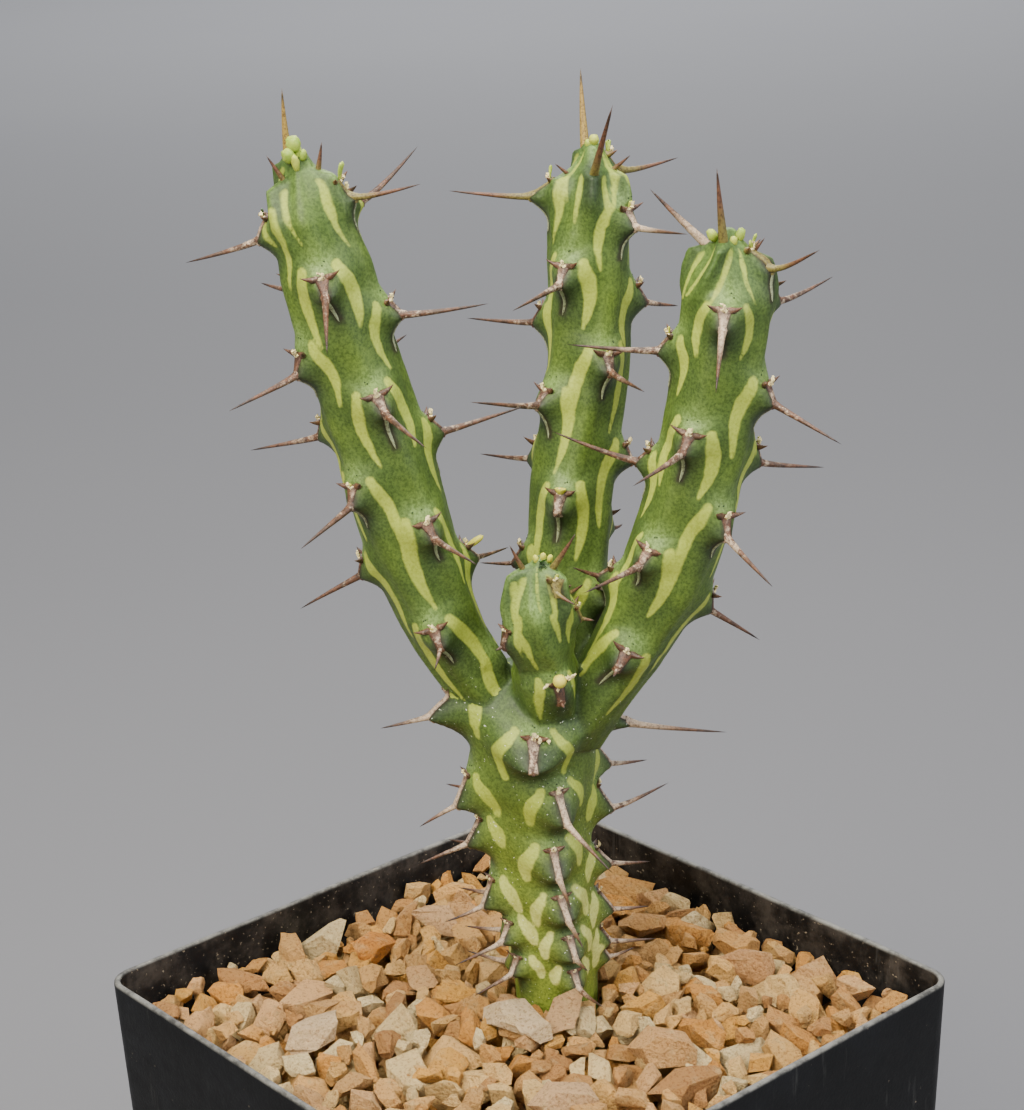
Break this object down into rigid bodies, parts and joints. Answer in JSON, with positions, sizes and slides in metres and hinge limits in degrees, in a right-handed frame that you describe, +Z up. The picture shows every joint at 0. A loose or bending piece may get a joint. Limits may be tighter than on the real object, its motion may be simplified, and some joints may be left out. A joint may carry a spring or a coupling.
{
  "type": "potted euphorbia",
  "caption": "Spiny columnar succulent with a thick trunk and upright branches, rooted in a square plastic nursery pot topped with crushed stone.",
  "frame": {"origin": "centre of the pot's underside, where it rests", "axes": "+Z up through the pot, X and Y along the pot's sides"},
  "size_m": [0.08, 0.08, 0.1922],
  "materials": {
    "pot": "moulded near-black plastic, scuffed, with a worn pale lip",
    "potting_soil": "damp dark brown potting soil",
    "gravel": "dry crushed tan, cream and grey stone",
    "euphorbia": "green waxy stem skin with pale stripes and grey-brown horny spines"
  },
  "bodies": {
    "root": {"pot": "pot", "potting_soil": "potting_soil", "gravel": "gravel", "euphorbia": "euphorbia"}
  },
  "joints": []
}
